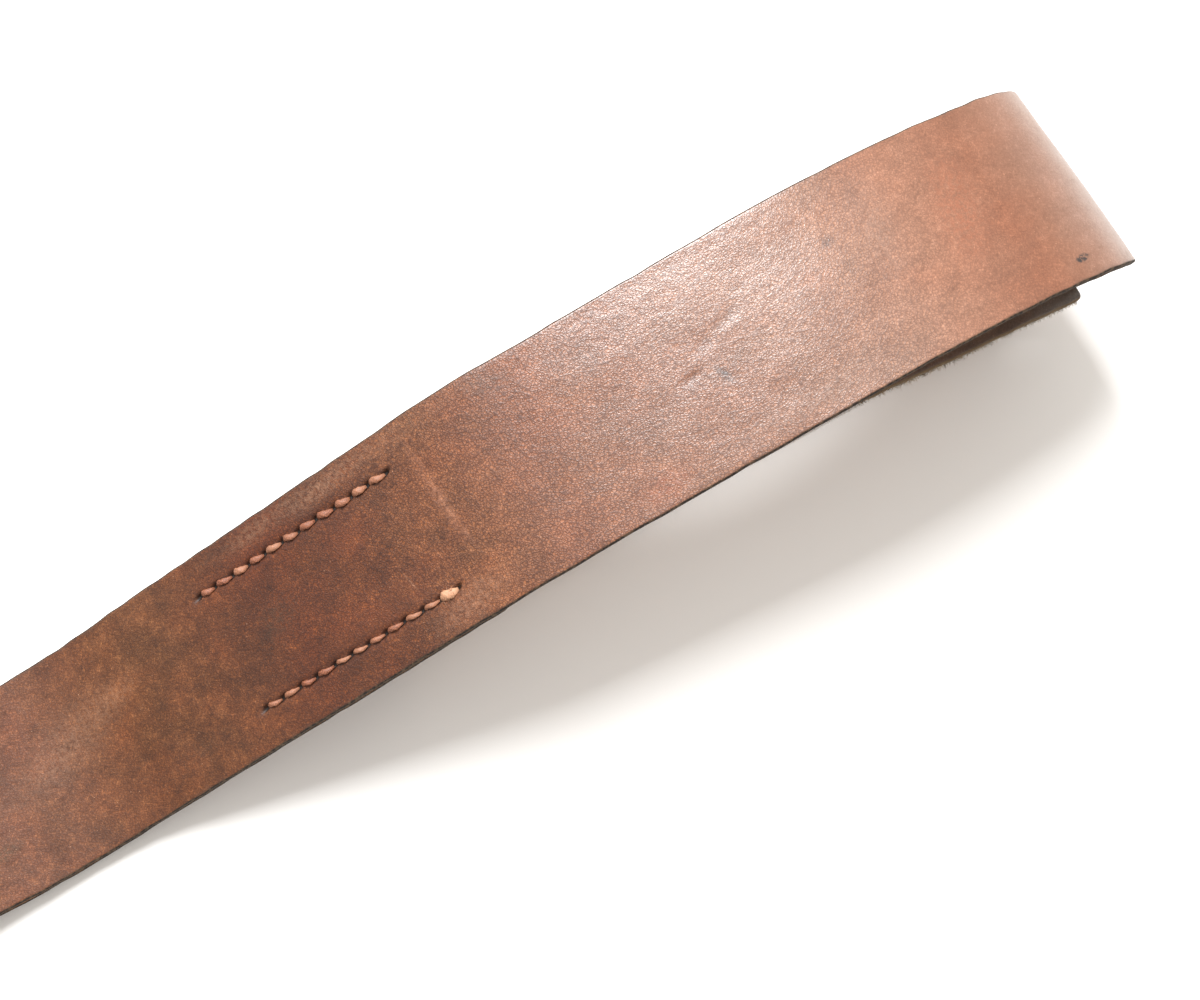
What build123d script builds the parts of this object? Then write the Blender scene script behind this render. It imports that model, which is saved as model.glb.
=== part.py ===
"""Two-piece leather guitar strap with a roller buckle, lying rolled up as it is stored.

Frame: X along the strap, Y across it, Z up, millimetres. The origin is on the surface that the
strap lies on, under the middle of its length and width. Both straps are one width and one
thickness, so each is its side view, a line through the middle of the leather, given the
leather's thickness and extruded across the width.
"""

import os
from math import atan, cos, degrees, radians, sin, tan

from build123d import *

os.makedirs("parts", exist_ok=True)

# Leather
width = 50.0
leather = 2.8
ply_gap = 0.2  # air between two plies that lie together
ply = leather + ply_gap
floor_ply = leather / 2  # mid-line height of leather that lies on the surface

# Keepers: leather loops around both plies and the tail strap
keeper_leather = 2.0
keeper_width = 9.0
keeper_play = 0.4
keeper_corner = 3.0  # outer radius of the loop's corners
fixed_keeper_x = -71.0
sliding_keeper_x = -50.0

# Buckle
heel_bar_x = -106.0
outer_bar_x = -150.0
wire = 4.6  # diameter of the frame's rod
wrap_gap = 0.15  # air between the rod and the leather around it
frame_inside = width + 2.4
roller_outer = 6.4
roller_play = 0.05
prong_wire = 3.4
prong_play = 0.05
prong_slot_width = 6.2
prong_slot_length = 27.0
prong_eye_radius = 3.8
prong_eye_width = 5.6
prong_overhang = 4.5
prong_root_gap = 0.5  # the finger starts this far outside the rod
prong_rest_gap = 0.2  # air between the finger and the roller
prong_tip_flat = 0.2  # radius of the flat that is left on the rounded tip
frame_corner = 2.6
roller_length = 51.0
roller_floor_gap = 0.4

# Heights of the leather's mid-line along the buckle end
lower_ply_z = keeper_leather + 2 * keeper_play + leather / 2
upper_ply_z = lower_ply_z + ply
wrap_radius = wire / 2 + wrap_gap + leather / 2
heel_bar_z = lower_ply_z + wrap_radius
fold_top_z = heel_bar_z + wrap_radius
roller_z = leather + roller_floor_gap + roller_outer / 2
rivet_head_height = 0.8
rivet_head_gap = 0.4  # air between the rivet heads and the tail strap
tail_fold_gap = 0.5  # air between the fold and the tail strap over it
tail_lap_z = upper_ply_z + leather + rivet_head_height + rivet_head_gap
tail_over_fold_z = fold_top_z + leather + tail_fold_gap

# Side view of the shoulder strap: corners of its mid-line, rounded by the radii named below
toe_corner = (20.5, floor_ply + ply)
crest_corner = (131.6, 58.6)
crown_corner = (235.0, 75.9)
bend_start = (273.7, 65.5)
toe_radius, crest_radius, crown_radius = 60.0, 70.0, 150.0
fold_back_end_x = 122.0
fold_drop_angle, fold_drop_radius = 20.0, 12.0
drop_x, drop_angle, drop_radius = -34.0, 6.0, 80.0
bend_lead = 0.5  # straight run before each S-bend

# The rolled-up end of the shoulder strap
inner_turn_x = 104.0
inner_turn_radius = 14.0
inner_rise = 20.0
inner_rise_run = 85.0
inner_crown_radius = 64.0
inner_fall = 24.0
inner_fall_run = 34.0
inner_tip_radius = 120.0
inner_tip_turn = 8.0
inner_tip_run = 22.0

# Tail strap
tail_tip_x = -29.0
tail_tip_fillet = 20.0
tail_turn_x = -283.9
tail_turn_radius = 14.0
tail_droop = 6.0
tail_return_run = 128.0
tail_crest_x = -110.0
tail_climb = 35.0
tail_climb_radius = 14.0
tail_level_run = 3.0  # the tail strap is level this far past the heel bar

# Holes
pin_hole_radius = 4.0
pin_hole_inset = 16.0
pin_slit = 12.0
pin_slit_width = 1.0
adjust_slot_length = 13.0
adjust_slot_width = 5.5
adjust_pitch = 25.0
adjust_count = 6
used_slot_lift = 1.7  # the slot in use sits this much above the middle of the climb

# Stitches and rivets
stitch_pitch = 5.3
stitch_count = 11
stitch_row_y = 15.6
stitch_start_x = 61.0
stitch_lag = 2.0  # the near row starts this much further along
thread = 1.0
awl_hole = 1.5
rivet_x = -81.0
rivet_y = 14.0
rivet_head = 8.0
rivet_shank = 3.0
rivet_hole = 3.2  # holes in the leather
rivet_cap_hole = 3.04  # the caps are pressed on to the shanks


def heading(a, b):
    """Angle of the line from a to b above the X axis, in degrees."""
    return degrees(atan((b[1] - a[1]) / (b[0] - a[0])))


def rounded(points, radii):
    """Line through the points, each inner one rounded by its radius, added to the BuildLine."""
    here = Vector(*points[0])
    for corner, after, radius in zip(points[1:-1], points[2:], radii):
        corner = Vector(*corner)
        along = (corner - here).normalized()
        onward = (Vector(*after) - corner).normalized()
        turn = along.get_signed_angle(onward, Vector(0, 0, 1))
        reach = radius * tan(radians(abs(turn) / 2))
        run = Line(here, corner - along * reach)
        here = JernArc(run @ 1, run % 1, radius, turn) @ 1
    return Line(here, Vector(*points[-1]))


def drop_bend(start, angle, radius, fall):
    """Corners of an S-bend that starts level at a point and falls by a height."""
    run = fall / tan(radians(angle))
    lead = radius * tan(radians(angle / 2)) + bend_lead
    first = (start[0] + lead, start[1])
    return [first, (first[0] + run, start[1] - fall)]


# Corners of the two plies from the buckle's fold to the arch
fold_drop = drop_bend(
    (heel_bar_x, fold_top_z), fold_drop_angle, fold_drop_radius, fold_top_z - upper_ply_z
)
keeper_drop = drop_bend((drop_x, upper_ply_z), drop_angle, drop_radius, upper_ply_z - toe_corner[1])
slope = heading(toe_corner, crest_corner)
bend_fall = -heading(crown_corner, bend_start)
bend_radius = (bend_start[1] - floor_ply) / (1 + cos(radians(bend_fall)))

# The lower ply lies one ply under the upper one, and ends on the slope
slope_normal = (sin(radians(slope)), -cos(radians(slope)))
lower_toe = (toe_corner[0] + ply * tan(radians(slope / 2)), floor_ply)
fold_back_end = (
    fold_back_end_x + ply * slope_normal[0],
    toe_corner[1] + (fold_back_end_x - toe_corner[0]) * tan(radians(slope)) + ply * slope_normal[1],
)
lap_drop = drop_bend(
    (heel_bar_x + tail_level_run, tail_over_fold_z),
    fold_drop_angle,
    fold_drop_radius,
    tail_over_fold_z - tail_lap_z,
)
lower_drop = drop_bend((drop_x, lower_ply_z), drop_angle, drop_radius, lower_ply_z - floor_ply)

# The tail strap climbs from the surface over the fold, and the prong comes up through it there
climb_rise = tail_over_fold_z - floor_ply
tail_foot_x = tail_crest_x - climb_rise / tan(radians(tail_climb))
prong_tip_z = roller_z + roller_outer / 2 + prong_wire / 2 + prong_rest_gap
prong_rise = heading((outer_bar_x, prong_tip_z), (heel_bar_x, heel_bar_z))
slot_x = tail_foot_x + (climb_rise / 2 + used_slot_lift) / tan(radians(tail_climb))
first_slot_x = tail_foot_x - adjust_pitch + climb_rise / 2 / tan(radians(tail_climb))

# Side views -------------------------------------------------------------------------------


def shoulder_side():
    """Mid-line of the shoulder strap, from its stitched-down end to its pin end."""
    rounded(
        [fold_back_end, lower_toe, *reversed(lower_drop), (heel_bar_x, lower_ply_z)],
        [toe_radius + ply, drop_radius, drop_radius],
    )
    JernArc((heel_bar_x, lower_ply_z), (-1, 0), wrap_radius, -180)
    top = rounded(
        [
            (heel_bar_x, fold_top_z),
            *fold_drop,
            *keeper_drop,
            toe_corner,
            crest_corner,
            crown_corner,
            bend_start,
        ],
        [fold_drop_radius] * 2 + [drop_radius] * 2 + [toe_radius, crest_radius, crown_radius],
    )
    bend = JernArc(top @ 1, top % 1, bend_radius, bend_fall - 180)
    floor_run = Line(bend @ 1, (inner_turn_x, floor_ply))
    inner_turn = JernArc(floor_run @ 1, (-1, 0), inner_turn_radius, inner_rise - 180)
    rise = Line(inner_turn @ 1, inner_turn @ 1 + inner_turn % 1 * inner_rise_run)
    crown = JernArc(rise @ 1, rise % 1, inner_crown_radius, -inner_rise - inner_fall)
    fall = Line(crown @ 1, crown @ 1 + crown % 1 * inner_fall_run)
    tip_bend = JernArc(fall @ 1, fall % 1, inner_tip_radius, -inner_tip_turn)
    return Line(tip_bend @ 1, tip_bend @ 1 + tip_bend % 1 * inner_tip_run)


def tail_side():
    """Mid-line of the tail strap, from its tip over the buckle's fold to its pin end."""
    climb = rounded(
        [
            (tail_tip_x, tail_lap_z),
            *reversed(lap_drop),
            (tail_crest_x, tail_over_fold_z),
            (tail_foot_x, floor_ply),
            (tail_turn_x, floor_ply),
        ],
        [fold_drop_radius] * 2 + [tail_climb_radius] * 2,
    )
    turn = JernArc(climb @ 1, (-1, 0), tail_turn_radius, -180 - tail_droop)
    return Line(turn @ 1, turn @ 1 + turn % 1 * tail_return_run)


# Straps -----------------------------------------------------------------------------------

slope_plane = Plane(
    origin=(toe_corner[0], 0, toe_corner[1]),
    x_dir=(cos(radians(slope)), 0, sin(radians(slope))),
    z_dir=(-sin(radians(slope)), 0, cos(radians(slope))),
)
slope_scale = 1 / cos(radians(slope))


def stitch_places(row):
    """Awl holes of a stitch row on the slope plane; row is 1 for the far row, -1 for the near."""
    first = (stitch_start_x - toe_corner[0]) * slope_scale + (stitch_lag if row < 0 else 0)
    return [(first + stitch_pitch * i, row * stitch_row_y) for i in range(stitch_count + 1)]


def end_plane(end):
    """Plane on a strap's mid-line at its end: X runs back along the strap, Z out of its face."""
    back, side = -(end % 1).X, -(end % 1).Y
    return Plane(origin=((end @ 1).X, 0, (end @ 1).Y), x_dir=(back, 0, side), z_dir=(side, 0, -back))


def pin_hole_cut(end):
    """Round hole and slit that the guitar's strap button goes through."""
    with BuildSketch(end_plane(end).offset(-leather)) as hole:
        with Locations((pin_hole_inset, 0)):
            Circle(pin_hole_radius)
        with Locations((pin_hole_inset + pin_slit / 2, 0)):
            Rectangle(pin_slit, pin_slit_width)
    extrude(hole.sketch, amount=2 * leather, mode=Mode.SUBTRACT)


with BuildPart() as shoulder_strap:
    with BuildSketch(Plane.XZ):
        with BuildLine():
            shoulder_end = shoulder_side()
        trace(line_width=leather)
    extrude(amount=width / 2, both=True)
    pin_hole_cut(shoulder_end)
    # Slot for the prong through the leather that wraps the heel bar
    with BuildSketch(Plane.XY):
        with Locations((heel_bar_x, 0)):
            SlotOverall(prong_slot_length, prong_slot_width)
    extrude(amount=fold_top_z + leather, mode=Mode.SUBTRACT)
    # Rivet holes and awl holes through both plies
    with BuildSketch(Plane.XY):
        with Locations((rivet_x, -rivet_y), (rivet_x, rivet_y)):
            Circle(rivet_hole / 2)
    extrude(amount=upper_ply_z + leather, mode=Mode.SUBTRACT)
    with BuildSketch(slope_plane.offset(-2 * ply)):
        with Locations(*stitch_places(1), *stitch_places(-1)):
            Circle(awl_hole / 2)
    extrude(amount=4 * ply, mode=Mode.SUBTRACT)

with BuildPart() as tail_strap:
    with BuildSketch(Plane.XZ):
        with BuildLine():
            tail_end = tail_side()
        trace(line_width=leather)
    extrude(amount=width / 2, both=True)
    fillet(tail_strap.edges().filter_by(Axis.Z).group_by(Axis.X)[-1], tail_tip_fillet)
    pin_hole_cut(tail_end)
    # The adjusting slot in use is on the climb, and the others follow it along the surface
    slot_z = floor_ply + (slot_x - tail_foot_x) * tan(radians(tail_climb))
    climb_plane = Plane(
        origin=(slot_x, 0, slot_z),
        x_dir=(cos(radians(tail_climb)), 0, sin(radians(tail_climb))),
        z_dir=(-sin(radians(tail_climb)), 0, cos(radians(tail_climb))),
    )
    with BuildSketch(climb_plane.offset(-leather)):
        SlotOverall(adjust_slot_length, adjust_slot_width)
    extrude(amount=2 * leather, mode=Mode.SUBTRACT)
    with BuildSketch(Plane.XY.offset(-leather)):
        with Locations(*[(first_slot_x - adjust_pitch * i, 0) for i in range(adjust_count)]):
            SlotOverall(adjust_slot_length, adjust_slot_width)
    extrude(amount=3 * leather, mode=Mode.SUBTRACT)

# Buckle -----------------------------------------------------------------------------------

bar_gap = heel_bar_x - outer_bar_x
frame_tilt = heading((outer_bar_x, roller_z), (heel_bar_x, heel_bar_z))
frame_plane = Plane(
    origin=((heel_bar_x + outer_bar_x) / 2, 0, (heel_bar_z + roller_z) / 2),
    x_dir=(cos(radians(frame_tilt)), 0, sin(radians(frame_tilt))),
    z_dir=(-sin(radians(frame_tilt)), 0, cos(radians(frame_tilt))),
)
frame_length = bar_gap / cos(radians(frame_tilt))
finger_root = wire / 2 + prong_root_gap

with BuildPart() as buckle_frame:
    with BuildSketch(frame_plane, mode=Mode.PRIVATE) as outline:
        RectangleRounded(frame_length, frame_inside + wire, frame_corner)
    rod_line = outline.sketch.face().outer_wire()
    with BuildSketch(Plane(origin=rod_line @ 0, z_dir=rod_line % 0)):
        Circle(wire / 2)
    sweep(path=rod_line, transition=Transition.ROUND)

with BuildPart() as buckle_roller:
    with BuildSketch(Plane.XZ.offset(-roller_length / 2)):
        with Locations((outer_bar_x, roller_z)):
            Circle(roller_outer / 2)
            Circle(wire / 2 + roller_play, mode=Mode.SUBTRACT)
    extrude(amount=roller_length)

with BuildPart() as buckle_prong:
    with BuildSketch(Plane.XZ.offset(-prong_eye_width / 2)):
        with Locations((heel_bar_x, heel_bar_z)):
            Circle(prong_eye_radius)
            Circle(wire / 2 + prong_play, mode=Mode.SUBTRACT)
    extrude(amount=prong_eye_width)
    finger = Plane(
        origin=(heel_bar_x, 0, heel_bar_z),
        z_dir=(-cos(radians(prong_rise)), 0, -sin(radians(prong_rise))),
    )
    with BuildSketch(finger.offset(finger_root)):
        Circle(prong_wire / 2)
    extrude(amount=bar_gap + prong_overhang - finger_root)
    fillet(buckle_prong.edges().group_by(Axis.X)[0], prong_wire / 2 - prong_tip_flat)

# Keepers ----------------------------------------------------------------------------------

keeper_bottom = lower_ply_z - leather / 2 - keeper_play
keeper_top = tail_lap_z + leather / 2 + keeper_play
keeper_inside = width + 3 * keeper_play


def keeper(x):
    """Leather loop around both plies and the tail strap, centred at x."""
    height = keeper_top - keeper_bottom
    with BuildSketch(Plane.YZ.offset(x - keeper_width / 2)) as loop:
        with Locations((0, (keeper_top + keeper_bottom) / 2)):
            RectangleRounded(
                keeper_inside + 2 * keeper_leather, height + 2 * keeper_leather, keeper_corner
            )
            RectangleRounded(
                keeper_inside, height, keeper_corner - keeper_leather, mode=Mode.SUBTRACT
            )
    extrude(loop.sketch, amount=keeper_width)


with BuildPart() as fixed_keeper:
    keeper(fixed_keeper_x)

with BuildPart() as sliding_keeper:
    keeper(sliding_keeper_x)

# Rivets and stitches ----------------------------------------------------------------------

rivet_floor = lower_ply_z - leather / 2
rivet_roof = upper_ply_z + leather / 2

with BuildPart() as rivet_posts:
    with BuildSketch(Plane.XY.offset(rivet_floor - rivet_head_height)):
        with Locations((rivet_x, -rivet_y), (rivet_x, rivet_y)):
            Circle(rivet_head / 2)
    extrude(amount=rivet_head_height)
    with BuildSketch(Plane.XY.offset(rivet_floor)):
        with Locations((rivet_x, -rivet_y), (rivet_x, rivet_y)):
            Circle(rivet_shank / 2)
    extrude(amount=rivet_roof + rivet_head_height - rivet_floor)

with BuildPart() as rivet_caps:
    with BuildSketch(Plane.XY.offset(rivet_roof)):
        with Locations((rivet_x, -rivet_y), (rivet_x, rivet_y)):
            Circle(rivet_head / 2)
            Circle(rivet_cap_hole / 2, mode=Mode.SUBTRACT)
    extrude(amount=rivet_head_height)


def stitches(row):
    """Saddle-stitched thread: a leg down each awl hole and a stitch on each face between legs."""
    places = stitch_places(row)
    top, bottom = leather / 2, -ply - leather / 2
    with BuildSketch(slope_plane.offset(bottom - thread)) as legs:
        with Locations(*places):
            Circle(thread / 2)
    extrude(legs.sketch, amount=top - bottom + 2 * thread)
    for face in (top, bottom - thread):
        with BuildSketch(slope_plane.offset(face)) as row_of_stitches:
            for a, b in zip(places, places[1:]):
                with Locations(((a[0] + b[0]) / 2, a[1])):
                    SlotCenterToCenter(stitch_pitch, thread)
        extrude(row_of_stitches.sketch, amount=thread)


with BuildPart() as far_stitches:
    stitches(1)

with BuildPart() as near_stitches:
    stitches(-1)

# ------------------------------------------------------------------------------------------

pieces = {
    "shoulder_strap": shoulder_strap,
    "tail_strap": tail_strap,
    "buckle_frame": buckle_frame,
    "buckle_roller": buckle_roller,
    "buckle_prong": buckle_prong,
    "fixed_keeper": fixed_keeper,
    "sliding_keeper": sliding_keeper,
    "rivet_posts": rivet_posts,
    "rivet_caps": rivet_caps,
    "far_stitches": far_stitches,
    "near_stitches": near_stitches,
}
for name, piece in pieces.items():
    piece.part.label = name
    export_step(piece.part, f"parts/{name}.step")
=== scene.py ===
"""Leather guitar strap, rolled up on a white table: its looks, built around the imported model."""

import math

import bpy
import numpy as np
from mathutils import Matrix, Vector


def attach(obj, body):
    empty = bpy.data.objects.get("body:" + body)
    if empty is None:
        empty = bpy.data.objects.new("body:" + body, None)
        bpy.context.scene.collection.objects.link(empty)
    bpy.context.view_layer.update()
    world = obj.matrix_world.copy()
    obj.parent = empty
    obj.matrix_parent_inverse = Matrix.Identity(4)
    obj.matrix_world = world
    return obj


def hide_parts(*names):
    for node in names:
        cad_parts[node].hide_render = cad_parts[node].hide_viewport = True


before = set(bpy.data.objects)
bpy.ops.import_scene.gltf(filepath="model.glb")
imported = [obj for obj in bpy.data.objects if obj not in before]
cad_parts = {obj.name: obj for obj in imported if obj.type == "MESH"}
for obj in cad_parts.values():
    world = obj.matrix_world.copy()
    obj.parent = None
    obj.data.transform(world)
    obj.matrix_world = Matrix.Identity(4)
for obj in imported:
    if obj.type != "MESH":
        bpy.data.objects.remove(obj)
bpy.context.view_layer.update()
MM = 0.001

# ---------------------------------------------------------------- side views, in millimetres
WIDTH, LEATHER = 50.0, 2.8
PLY = 3.0  # between the middles of two plies that lie together
HALF, SKIN = WIDTH / 2, LEATHER / 2
FLOOR_Z = SKIN  # middle of leather that lies on the table
LOWER_Z, UPPER_Z = 4.2, 7.2  # middles of the doubled strap's plies in the keepers
HEEL_X, WRAP_RADIUS = -106.0, 3.85  # the fold round the buckle's heel bar
HEEL_Z = LOWER_Z + WRAP_RADIUS
FOLD_Z = HEEL_Z + WRAP_RADIUS
TAIL_LAP_Z, TAIL_OVER_Z = 11.2, 15.2  # the tail strap in the keepers and over the fold
TOE, CREST, CROWN, BEND = (20.5, 4.4), (131.6, 58.6), (235.0, 75.9), (273.7, 65.5)
SLOPE = math.atan2(CREST[1] - TOE[1], CREST[0] - TOE[0])
SLOPE_NORMAL = np.array([-math.sin(SLOPE), math.cos(SLOPE)])
FOLD_BACK_X = 122.0  # where the lower ply ends, under the arch
DROP_X, TAIL_TIP_X = -34.0, -29.0  # where the doubled strap comes down, and the tail strap's tip
ARCH_X = 205.0  # from here on the arch droops
INNER_X = 104.0  # where the rolled-up part turns back at the left
READ_REACH = 0.4  # half the stretch over which a direction is read


class SideView:
    """Line of runs and arcs in the XZ plane, sampled finely and read by distance along it."""

    STEP = 0.2

    def __init__(self, start, heading):
        self.xz = [np.array(start, float)]
        self.heading = math.radians(heading)

    def run(self, length):
        """Straight on by this length."""
        count = max(1, round(length / self.STEP))
        way = np.array([math.cos(self.heading), math.sin(self.heading)])
        here = self.xz[-1]
        self.xz += [here + way * length * (i + 1) / count for i in range(count)]
        return self

    def turn(self, radius, degrees):
        """Arc to the left for positive degrees."""
        angle = math.radians(degrees)
        side = math.copysign(1, angle)
        count = max(2, round(abs(angle) * radius / self.STEP))
        here, h0 = self.xz[-1], self.heading
        centre = here + side * radius * np.array([-math.sin(h0), math.cos(h0)])
        for i in range(count):
            h = h0 + angle * (i + 1) / count
            self.xz.append(centre - side * radius * np.array([-math.sin(h), math.cos(h)]))
        self.heading = h0 + angle
        return self

    def corners(self, points, radii):
        """Runs through the points, each inner one rounded by its radius."""
        points = [self.xz[-1]] + [np.array(p, float) for p in points]
        for corner, after, radius in zip(points[1:-1], points[2:], radii):
            onward = math.atan2(after[1] - corner[1], after[0] - corner[0])
            to_corner = corner - self.xz[-1]
            self.heading = math.atan2(to_corner[1], to_corner[0])
            bend = (onward - self.heading + math.pi) % (2 * math.pi) - math.pi
            self.run(np.linalg.norm(to_corner) - radius * math.tan(abs(bend) / 2))
            self.turn(radius, math.degrees(bend))
        last = points[-1] - self.xz[-1]
        self.heading = math.atan2(last[1], last[0])
        return self.run(np.linalg.norm(last))

    def close(self):
        """Ends the line and measures it."""
        xz = np.array(self.xz)
        gaps = np.linalg.norm(np.diff(xz, axis=0), axis=1)
        keep = np.concatenate([[True], gaps > 1e-6])
        self.line = xz[keep]
        self.at = np.concatenate([[0], np.cumsum(gaps[gaps > 1e-6])])
        self.length = self.at[-1]
        return self

    def read(self, s):
        """Points and left-hand normals at the distances s."""
        def point(t):
            return np.stack([np.interp(t, self.at, self.line[:, k]) for k in (0, 1)], -1)

        t0 = np.clip(s - READ_REACH, 0, self.length)
        t1 = np.clip(s + READ_REACH, 0, self.length)
        along = point(t1) - point(t0)
        along /= np.linalg.norm(along, axis=-1, keepdims=True)
        return point(s), np.stack([-along[..., 1], along[..., 0]], -1)

    def distance_at(self, x, start, end):
        """Distance along the line where it has this x, between two distances."""
        part = (self.at >= start) & (self.at <= end)
        xs, at = self.line[part, 0], self.at[part]
        order = np.argsort(xs)
        return float(np.interp(x, xs[order], at[order]))


def drop_bend(start, angle, radius, fall):
    """The two corners of a run that leaves the level at start and falls at this angle."""
    lead = radius * math.tan(math.radians(angle / 2)) + 0.5  # room for the arc
    return [
        (start[0] + lead, start[1]),
        (start[0] + lead + fall / math.tan(math.radians(angle)), start[1] - fall),
    ]


KEEPER_DROP = drop_bend((DROP_X, UPPER_Z), 6, 80, UPPER_Z - TOE[1])
LOWER_DROP = drop_bend((DROP_X, LOWER_Z), 6, 80, LOWER_Z - FLOOR_Z)
FOLD_DROP = drop_bend((HEEL_X, FOLD_Z), 20, 12, FOLD_Z - UPPER_Z)
LAP_DROP = drop_bend((HEEL_X + 3, TAIL_OVER_Z), 20, 12, TAIL_OVER_Z - TAIL_LAP_Z)
BEND_FALL = math.degrees(math.atan2(CROWN[1] - BEND[1], BEND[0] - CROWN[0]))
BEND_RADIUS = (BEND[1] - FLOOR_Z) / (1 + math.cos(math.radians(BEND_FALL)))

fold_back_end = np.array(
    [FOLD_BACK_X, TOE[1] + (FOLD_BACK_X - TOE[0]) * math.tan(SLOPE)]
) - PLY * SLOPE_NORMAL
lower_toe = (TOE[0] + PLY * math.tan(SLOPE / 2), FLOOR_Z)
shoulder = SideView(fold_back_end, 180)
shoulder.corners([lower_toe, *reversed(LOWER_DROP), (HEEL_X, LOWER_Z)], [63, 80, 80])
S_FOLD = len(shoulder.xz)
shoulder.turn(WRAP_RADIUS, -180)
shoulder.corners(
    [*FOLD_DROP, *KEEPER_DROP, TOE, CREST, CROWN, BEND], [12, 12, 80, 80, 60, 70, 150]
)
S_BEND = len(shoulder.xz)
shoulder.turn(BEND_RADIUS, BEND_FALL - 180)
S_FLOOR = len(shoulder.xz)
shoulder.run(shoulder.xz[-1][0] - INNER_X)
S_INNER = len(shoulder.xz)
shoulder.turn(14, 20 - 180)
S_RETURN = len(shoulder.xz)
# the inner turn's way back, rising to its square-cut end
shoulder.run(85).turn(64, -44).run(34).turn(120, -8).run(22)
marks_at = [S_FOLD, S_BEND, S_FLOOR, S_INNER, S_RETURN]
shoulder.close()
S_FOLD, S_BEND, S_FLOOR, S_INNER, S_RETURN = [float(shoulder.at[i - 1]) for i in marks_at]
S_TOP = S_FOLD + math.pi * WRAP_RADIUS

CLIMB = math.radians(35)
TAIL_CREST_X, TAIL_TURN_X = -110.0, -283.9
TAIL_FOOT_X = TAIL_CREST_X - (TAIL_OVER_Z - FLOOR_Z) / math.tan(CLIMB)
tail = SideView((TAIL_TIP_X, TAIL_LAP_Z), 180)
tail.corners(
    [
        *reversed(LAP_DROP), (TAIL_CREST_X, TAIL_OVER_Z), (TAIL_FOOT_X, FLOOR_Z),
        (TAIL_TURN_X, FLOOR_Z),
    ],
    [12, 12, 14, 14],
)
tail_turn = len(tail.xz)
tail.turn(14, -186).run(128)
tail.close()


def top_s(x):
    """Distance along the shoulder strap of a point of its top run."""
    return shoulder.distance_at(x, S_TOP, S_BEND + 40)


# ---------------------------------------------------------------- meshes of leather
TABLE = (97, 89)  # size of a table of noise, which repeats
FAR_OUT = 1000.0  # keeps its cells' numbers above zero
HOLE_PAD = 1.3  # grid cells this near a hole give way to rings round it
ROUND_OVER = 0.35  # depth at which a hole's wall is upright
MOUTH = ((0.45, 0.0), (0.15, 0.06), (0.0, ROUND_OVER))  # a hole's rounded mouth: outward, depth
EDGE = 0.75  # radius of the strap's edges
MOST_SWELL = 0.15  # of the faces' waves, which are let down by it to stay off the table


def smoothstep(t):
    t = np.clip(t, 0, 1)
    return t * t * (3 - 2 * t)


def drift(s, y, size, seed):
    """Smooth seeded noise from -1 to 1 over the flat leather, of this size along and across."""
    table = np.random.default_rng(seed).uniform(-1, 1, TABLE)
    u, v = np.asarray(s) / size[0] + FAR_OUT, np.asarray(y) / size[1] + FAR_OUT
    i, j = np.floor(u).astype(int), np.floor(v).astype(int)
    fu, fv = smoothstep(u - i), smoothstep(v - j)

    def corner(a, b):
        return table[(i + a) % TABLE[0], (j + b) % TABLE[1]]

    return (corner(0, 0) * (1 - fu) + corner(1, 0) * fu) * (1 - fv) + (
        corner(0, 1) * (1 - fu) + corner(1, 1) * fu
    ) * fv


def edge_profile(half, skin, radius, steps=4):
    """Points (y, h) round the right-hand edge, between the top face and the bottom one."""
    upper = [
        (half - radius + radius * math.sin(a), skin - radius + radius * math.cos(a))
        for a in np.linspace(0, math.pi / 2, steps + 1)[1:]
    ]
    return upper + [(half + 0.06, 0.0)] + [(y, -h) for y, h in reversed(upper)]


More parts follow.
